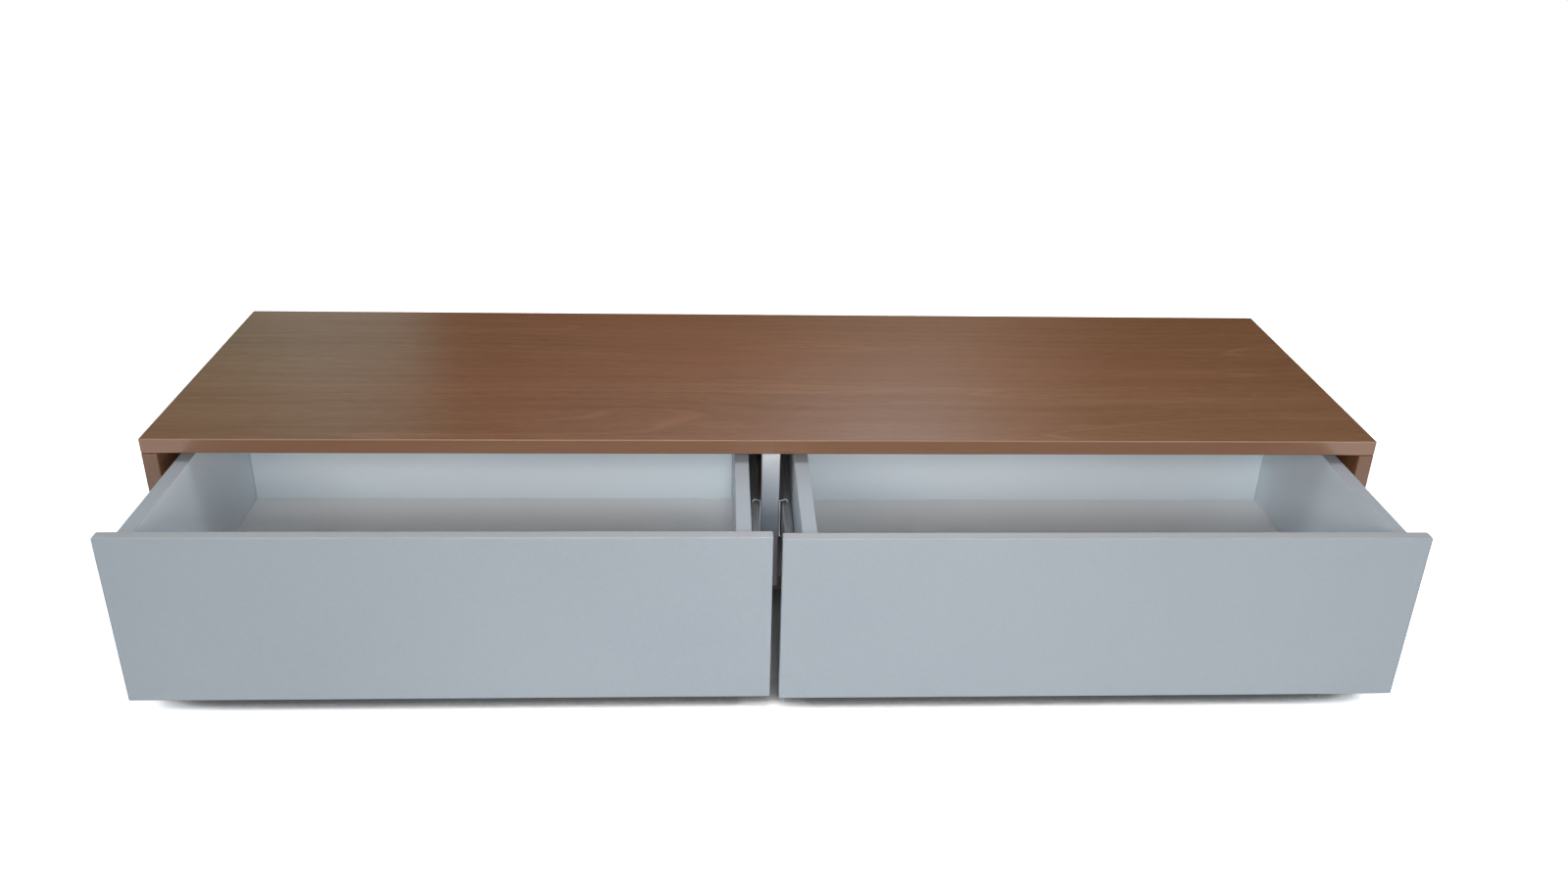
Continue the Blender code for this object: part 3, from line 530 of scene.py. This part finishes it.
def peel_group():
    """Fine unevenness of a sprayed or pressed face, and a slow cloudiness."""
    tree, given, result = new_group(
        "fine_unevenness",
        (("Place", "NodeSocketVector"), ("Scale", "NodeSocketFloat")),
        (("Cloud", "NodeSocketFloat"), ("Height", "NodeSocketFloat")),
    )
    place = given.outputs["Place"]
    fine = {"Vector": place, "Scale": given.outputs["Scale"], "Detail": PEEL_DETAIL}
    fine["Roughness"] = PEEL_ROUGHNESS
    slow = {"Vector": place, "Scale": CLOUD_SCALE, "Detail": PEEL_DETAIL}
    fine_noise = add_node(tree, "ShaderNodeTexNoise", fine).outputs["Fac"]
    slow_noise = add_node(tree, "ShaderNodeTexNoise", slow).outputs["Fac"]
    tree.links.new(fine_noise, result.inputs["Height"])
    tree.links.new(slow_noise, result.inputs["Cloud"])
    return tree


fine_unevenness = peel_group()


def coated(name, dark, light, texture, values):
    """A coated face: two near colours, slow clouds, a fine speckle and a fine relief."""
    scale, relief, speckle = texture
    made, tree, shader = new_surface(name, values)
    peel = tree.nodes.new("ShaderNodeGroup")
    peel.node_tree = fine_unevenness
    place = add_node(tree, "ShaderNodeTexCoord").outputs["Object"]
    tree.links.new(place, peel.inputs["Place"])
    peel.inputs["Scale"].default_value = scale
    fine = arithmetic(tree, "MULTIPLY", peel.outputs["Height"], speckle)
    slow = arithmetic(tree, "MULTIPLY", peel.outputs["Cloud"], 1 - speckle)
    tone = arithmetic(tree, "ADD", fine, slow)
    tree.links.new(mix_colours(tree, tone, dark, light), shader.inputs["Base Color"])
    bump(tree, shader, peel.outputs["Height"], PEEL_STRENGTH, relief)
    return made


def blend_along(axis, finish, start, end, colour):
    """Turns a finish into another colour between a start and an end along one axis."""
    tree = finish.node_tree
    base = tree.nodes["Principled BSDF"].inputs["Base Color"]
    place = add_node(tree, "ShaderNodeTexCoord").outputs["Object"]
    distance = add_node(tree, "ShaderNodeSeparateXYZ", {0: place}).outputs[axis]
    limits = {"Value": distance, "From Min": start, "From Max": end}
    blend = add_node(tree, "ShaderNodeMapRange", limits).outputs[0]
    tree.links.new(mix_colours(tree, blend, base.links[0].from_socket, colour), base)


strip = {"Roughness": 0.42, "Specular IOR Level": 0.5}
strip_finish = coated("pale_strip", STRIP_SHADE, STRIP_COLOUR, STRIP_TEXTURE, strip)
strip_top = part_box("divider_edge_strip")[1].z
# Painted shade: the strip is coloured darker downwards, and dark where it shows in the gap between the
# fronts.
blend_along("Z", strip_finish, strip_top, strip_top - STRIP_FADE, STRIP_PAINTED_SHADE)
gap_shade_start, gap_shade_end = [strip_top - depth for depth in STRIP_SEEN]
blend_along("Z", strip_finish, gap_shade_start, gap_shade_end, STRIP_GAP_SHADE)
dress(strip_finish, "divider_edge_strip")


# The bottom panel: a board lined with pale film, held between the sides and set back behind
# the fronts. Only a glimpse of it and of its dull front edge shows in the gap between the fronts.
LINING_DARK = (0.70, 0.69, 0.69, 1)
LINING_LIGHT = (0.78, 0.77, 0.77, 1)
LINING_TEXTURE = (700, 0.00003, 0.25)
LINING_EDGE = (0.155, 0.120, 0.110, 1)
EDGE_SHOWS = 0.0004  # how far in the colour laid on an edge reaches

lining = {"Roughness": 0.6, "Specular IOR Level": 0.4}
lining_finish = coated("pale_lined_board", LINING_DARK, LINING_LIGHT, LINING_TEXTURE, lining)
bottom_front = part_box("bottom_panel")[0].y
blend_along("Y", lining_finish, bottom_front + 2 * EDGE_SHOWS, bottom_front + EDGE_SHOWS, LINING_EDGE)
dress(lining_finish, "bottom_panel")


# The back panel: thin hard fibreboard, smooth and brown, held in grooves of the carcase boards.
# It is bare, with the pressed fibres just showing.
BOARD_DARK = (0.185, 0.105, 0.056, 1)
BOARD_LIGHT = (0.290, 0.180, 0.102, 1)
BOARD_TEXTURE = (650, 0.00005, 0.6)

bare_board = {"Roughness": 0.72, "Specular IOR Level": 0.35}
dress(coated("hard_fibreboard", BOARD_DARK, BOARD_LIGHT, BOARD_TEXTURE, bare_board), "back_panel")


# The hanging rails and the spacer: planed softwood. The wall rail is screwed to the wall and the
# cabinet's own rail hooks over its bevel.
TIMBER_DARK = (0.53, 0.315, 0.165, 1)
TIMBER_LIGHT = (0.74, 0.53, 0.325, 1)
TIMBER_CONTRAST = 1.5
TIMBER_BUMP = (0.4, 0.00008)
RAILS = (
    ("cabinet_cleat", (0, 0, 0.9)),
    ("wall_cleat", (0.37, 0.5, 0.9)),
    ("lower_spacer", (0.74, 1.0, 0.9)),
)  # each with its place in the log


def planed_timber(name, turn, offset, contrast, dark, light):
    """Bare planed timber."""
    made, tree, shader = new_surface(name, {"Roughness": 0.62, "Specular IOR Level": 0.35})
    figure = grain(tree, turn, offset, contrast)
    colour = mix_colours(tree, figure.outputs["Tone"], dark, light)
    tree.links.new(colour, shader.inputs["Base Color"])
    bump(tree, shader, figure.outputs["Height"], *TIMBER_BUMP)
    return made


for name, place in RAILS:
    dress(planed_timber("planed_" + name, FLAT, place, TIMBER_CONTRAST, TIMBER_DARK, TIMBER_LIGHT), name)


# The drawer fronts: boards sprayed with satin white lacquer all round, without handles. Each is
# pulled by its lower edge.
LACQUER_SHADE = (0.280, 0.316, 0.348, 1)
LACQUER_COLOUR = (0.352, 0.390, 0.424, 1)
LACQUER_TEXTURE = (300, 0.00006, 0.5)
LACQUER_EDGE_HIGHLIGHT = (0.460, 0.478, 0.502, 1)  # painted highlight: the upper edge made lighter, as light falls on it from above
SIDES = ("left", "right")

lacquer = {"Roughness": 0.40, "Specular IOR Level": 0.5}
lacquer_finish = coated("white_lacquer", LACQUER_SHADE, LACQUER_COLOUR, LACQUER_TEXTURE, lacquer)
front_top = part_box("left_drawer_front")[1].z
# A painted highlight along the fronts' upper edge.
blend_along("Z", lacquer_finish, front_top - 2 * EDGE_SHOWS, front_top - EDGE_SHOWS, LACQUER_EDGE_HIGHLIGHT)
for side in SIDES:
    dress(lacquer_finish, f"{side}_drawer_front")


# The drawer boxes: white faced board for the sides and the back, and a thinner white bottom in
# grooves. The fine pearl of the pressed faces just shows.
BOX_SHADE = (0.735, 0.825, 0.885, 1)
BOX_COLOUR = (0.81, 0.88, 0.925, 1)
BOX_TEXTURE = (1100, 0.00003, 0.25)
EDGING_AND_SHADE_COLOUR = (0.46, 0.495, 0.540, 1)  # of the thin edging on the boards' upper edges: partly its own colour, partly painted shade
BOTTOM_SHADE = (0.92, 0.92, 0.92, 1)
BOTTOM_COLOUR = (0.95, 0.95, 0.95, 1)
BOTTOM_TEXTURE = (800, 0.00003, 0.45)

faced = {"Roughness": 0.48, "Specular IOR Level": 0.45}
box_finish = coated("white_faced_board", BOX_SHADE, BOX_COLOUR, BOX_TEXTURE, faced)
box_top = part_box("left_drawer_inner_side")[1].z
# Along the boards' upper edges: their edging, darkened as painted shade.
blend_along("Z", box_finish, box_top - 2 * EDGE_SHOWS, box_top - EDGE_SHOWS, EDGING_AND_SHADE_COLOUR)
bottom_finish = coated("white_thin_board", BOTTOM_SHADE, BOTTOM_COLOUR, BOTTOM_TEXTURE, faced)
for side in SIDES:
    for board in ("inner_side", "outer_side", "back"):
        dress(box_finish, f"{side}_drawer_{board}")
    dress(bottom_finish, f"{side}_drawer_bottom")


# The dowels: beech pegs glued into the ends of the drawer sides and the back of the fronts,
# hidden once the drawer is together.
BEECH_DARK = (0.40, 0.24, 0.125, 1)
BEECH_LIGHT = (0.60, 0.42, 0.26, 1)
BEECH_CONTRAST = 1.2
ALONG_Y = (0, 0, 90)

beech = planed_timber("beech_peg", ALONG_Y, (0, 0, 0), BEECH_CONTRAST, BEECH_DARK, BEECH_LIGHT)
for name in frame["nodes"]:
    if name.endswith("_dowel"):
        dress(beech, name)


# The slides: three rolled steel members with a thin zinc coat, screwed to the carcase and to the
# drawer through round holes. Each shows here with its bends drawn smooth.
ZINC_DARK = (0.43, 0.44, 0.46, 1)
ZINC_LIGHT = (0.65, 0.66, 0.67, 1)
ZINC_TEXTURE = (260, 0.00002, 0.5)
CUT_STEEL = (0.95, 0.95, 0.94, 1)  # of the fixed members' sawn front ends
BEND_ANGLE = 35  # degrees: sharper edges than this stay crisp
WELD_DISTANCE = 0.000005
FLAT_ANGLE = 0.5  # degrees: faces that meet flatter than this become one
SOFT_SEGMENTS = 2
PLACES = ("outer", "inner")
MEMBERS = ("cabinet_member", "middle_member", "drawer_member")


def only(obj):
    """Selects one object and makes it the active one."""
    bpy.ops.object.select_all(action="DESELECT")
    obj.select_set(True)
    bpy.context.view_layer.objects.active = obj


def drawn_smooth(name, finish, arris=0.0):
    """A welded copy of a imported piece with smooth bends, or softened edges, that stands for it."""
    only(frame["nodes"][name])
    body = body_of(frame["nodes"][name])[0]
    bpy.ops.object.duplicate()
    piece = bpy.context.object
    piece.name = name + "_drawn"
    del piece["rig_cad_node"], piece["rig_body"]
    piece.parent = None
    bpy.ops.object.mode_set(mode="EDIT")
    bpy.ops.mesh.select_all(action="SELECT")
    bpy.ops.mesh.remove_doubles(threshold=WELD_DISTANCE)
    bpy.ops.mesh.dissolve_limited(angle_limit=math.radians(FLAT_ANGLE))
    bpy.ops.object.mode_set(mode="OBJECT")
    if arris:
        bevel = piece.modifiers.new("softened", "BEVEL")
        bevel.width = arris
        bevel.segments = SOFT_SEGMENTS
        bevel.limit_method = "ANGLE"
        bevel.angle_limit = math.radians(BEND_ANGLE)
        bpy.ops.object.modifier_apply(modifier=bevel.name)
    bpy.ops.object.shade_smooth_by_angle(angle=math.radians(BEND_ANGLE))
    piece.data.materials.clear()
    piece.data.materials.append(finish)
    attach(piece, body)
    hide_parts(name)


zinc = {"Roughness": 0.38, "Metallic": 0.78}
zinc_finish = coated("zinc_plated_steel", ZINC_DARK, ZINC_LIGHT, ZINC_TEXTURE, zinc)
fixed_finish = coated("zinc_with_cut_end", ZINC_DARK, ZINC_LIGHT, ZINC_TEXTURE, zinc)
slides = [f"{side}_drawer_{place}_slide" for side in SIDES for place in PLACES]
cut_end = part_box(slides[0] + "_cabinet_member")[0].y
blend_along("Y", fixed_finish, cut_end + 2 * EDGE_SHOWS, cut_end + EDGE_SHOWS, CUT_STEEL)
for slide in slides:
    for member in MEMBERS:
        finish = fixed_finish if member == "cabinet_member" else zinc_finish
        drawn_smooth(f"{slide}_{member}", finish)


# The slide screws: flat heads with a cross recess, let in flush with the steel. Three hold each
# fixed member to the carcase and three hold each inner member to the drawer.
HEAD_RADIUS = 0.0021
HEAD_THICKNESS = 0.0010
HEAD_SIDES = 24
HEAD_SINK = 0.0001  # below the face of the steel
HEAD_ARRIS = 0.00015
RECESS_WIDTH = 0.0006
RECESS_LENGTH = 0.0026
RECESS_DEPTH = 0.0006
STEEL = 0.0012  # thickness of the members that carry the heads
SCREW_SHARES = {
    "cabinet_member": (0.10, 0.45, 0.88),
    "drawer_member": (0.08, 0.70, 0.93),
}  # where each member's heads sit, in shares of the slide's length
SCREW_DARK = (0.36, 0.37, 0.38, 1)
SCREW_LIGHT = (0.54, 0.55, 0.56, 1)
SCREW_TEXTURE = (900, 0.00001, 0.5)


def cut_with(target, cutter):
    """Takes one shape out of another."""
    only(target)
    hollow = target.modifiers.new("recess", "BOOLEAN")
    hollow.object = cutter
    bpy.ops.object.modifier_apply(modifier=hollow.name)
    bpy.data.objects.remove(cutter)


def screw_head():
    """One head about the origin, its face turned to +X."""
    bpy.ops.mesh.primitive_cylinder_add(
        vertices=HEAD_SIDES, radius=HEAD_RADIUS, depth=HEAD_THICKNESS, rotation=(0, math.pi / 2, 0)
    )
    head = bpy.context.object
    bpy.ops.object.transform_apply()
    edge = head.modifiers.new("eased", "BEVEL")
    edge.width = HEAD_ARRIS
    edge.limit_method = "ANGLE"
    bpy.ops.object.modifier_apply(modifier=edge.name)
    for angle in (0, math.pi / 2):
        bpy.ops.mesh.primitive_cube_add(size=1, location=(HEAD_THICKNESS / 2, 0, 0))
        bar = bpy.context.object
        bar.scale = (2 * RECESS_DEPTH, RECESS_LENGTH, RECESS_WIDTH)
        bar.rotation_euler = (angle, 0, 0)
        bpy.ops.object.transform_apply()
        cut_with(head, bar)
    only(head)
    bpy.ops.object.shade_smooth_by_angle(angle=math.radians(BEND_ANGLE))
    return head


def copies(pattern, places, turn):
    """Copies of one shape at several places, joined to one object."""
    made = []
    for place in places:
        only(pattern)
        bpy.ops.object.duplicate()
        copy = bpy.context.object
        copy.matrix_world = Matrix.Translation(place) @ turn
        made.append(copy)
    for copy in made:
        copy.select_set(True)
    bpy.ops.object.join()
    joined = bpy.context.object
    only(joined)
    bpy.ops.object.transform_apply()
    return joined


dull = {"Roughness": 0.4, "Metallic": 0.8}
screws_finish = coated("dull_screw_steel", SCREW_DARK, SCREW_LIGHT, SCREW_TEXTURE, dull)
pattern = screw_head()
for slide in slides:
    middle_of = {m: sum(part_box(f"{slide}_{m}"), Vector()) / 2 for m in SCREW_SHARES}
    hand = math.copysign(1, middle_of["drawer_member"].x - middle_of["cabinet_member"].x)
    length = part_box(f"{slide}_drawer_member")[1].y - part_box(f"{slide}_drawer_member")[0].y
    for member, shares in SCREW_SHARES.items():
        name = f"{slide}_{member}"
        near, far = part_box(name)
        facing = hand if member == "cabinet_member" else -hand
        web_face = (near.x if facing > 0 else far.x) + facing * STEEL
        head_x = web_face - facing * (HEAD_SINK + HEAD_THICKNESS / 2)
        holes = [Vector((head_x, near.y + length * share, middle_of[member].z)) for share in shares]
        turn = Matrix.Rotation(0 if facing > 0 else math.pi, 4, "Z")
        screws = copies(pattern, holes, turn)
        screws.name = name.replace("_member", "_screws")
        screws.data.materials.append(screws_finish)
        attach(screws, body_of(frame["nodes"][name])[0])
bpy.data.objects.remove(pattern)


# The ball cages: strips of bright pressed steel between the members, with five steel balls in
# each flange. Each cage runs at the mean speed of the two members beside it.
CAGE_DARK = (0.54, 0.55, 0.57, 1)
CAGE_LIGHT = (0.68, 0.69, 0.71, 1)
CAGE_TEXTURE = (400, 0.00002, 0.5)
BALL_RADIUS = 0.0018
BALL_MERIDIANS = 20
BALL_RINGS = 12
BALLS_IN_A_ROW = 5
FIRST_BALL = 0.008  # from the cage's end
BALL_DARK = (0.62, 0.63, 0.65, 1)
BALL_LIGHT = (0.74, 0.75, 0.77, 1)
BALL_TEXTURE = (1500, 0.000002, 0.3)

bright = {"Roughness": 0.30, "Metallic": 0.85}
cage_finish = coated("bright_pressed_steel", CAGE_DARK, CAGE_LIGHT, CAGE_TEXTURE, bright)
polished = {"Roughness": 0.10, "Metallic": 1.0}
ball_finish = coated("polished_steel", BALL_DARK, BALL_LIGHT, BALL_TEXTURE, polished)
bpy.ops.mesh.primitive_uv_sphere_add(segments=BALL_MERIDIANS, ring_count=BALL_RINGS, radius=BALL_RADIUS)
pattern = bpy.context.object
bpy.ops.object.shade_smooth()
for slide in slides:
    drawer_middle = sum(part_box(f"{slide}_drawer_member"), Vector()) / 2
    for cage in ("outer_cage", "inner_cage"):
        name = f"{slide}_{cage}"
        near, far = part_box(name)
        towards_drawer = drawer_middle.x > (near.x + far.x) / 2
        ball_x = far.x - BALL_RADIUS if towards_drawer else near.x + BALL_RADIUS
        pitch = (far.y - near.y - 2 * FIRST_BALL) / (BALLS_IN_A_ROW - 1)
        places = [
            Vector((ball_x, near.y + FIRST_BALL + i * pitch, height))
            for i in range(BALLS_IN_A_ROW)
            for height in (near.z + BALL_RADIUS, far.z - BALL_RADIUS)
        ]
        balls = copies(pattern, places, Matrix.Identity(4))
        balls.name = name + "_balls"
        balls.data.materials.append(ball_finish)
        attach(balls, body_of(frame["nodes"][name])[0])
        drawn_smooth(name, cage_finish)
bpy.data.objects.remove(pattern)


# The release levers and rear stops: black moulded plastic with softened edges. A lever is riveted
# to each drawer member, and a stop is clipped in the back of each cabinet member.
PLASTIC_DARK = (0.010, 0.010, 0.011, 1)
PLASTIC_LIGHT = (0.022, 0.022, 0.024, 1)
PLASTIC_TEXTURE = (1600, 0.00005, 0.6)
MOULDED_EDGE = 0.0002

moulded = {"Roughness": 0.46, "Specular IOR Level": 0.5}
plastic = coated("black_moulding", PLASTIC_DARK, PLASTIC_LIGHT, PLASTIC_TEXTURE, moulded)
for slide in slides:
    for moulding in ("release_lever", "rear_stop"):
        drawn_smooth(f"{slide}_{moulding}", plastic, MOULDED_EDGE)
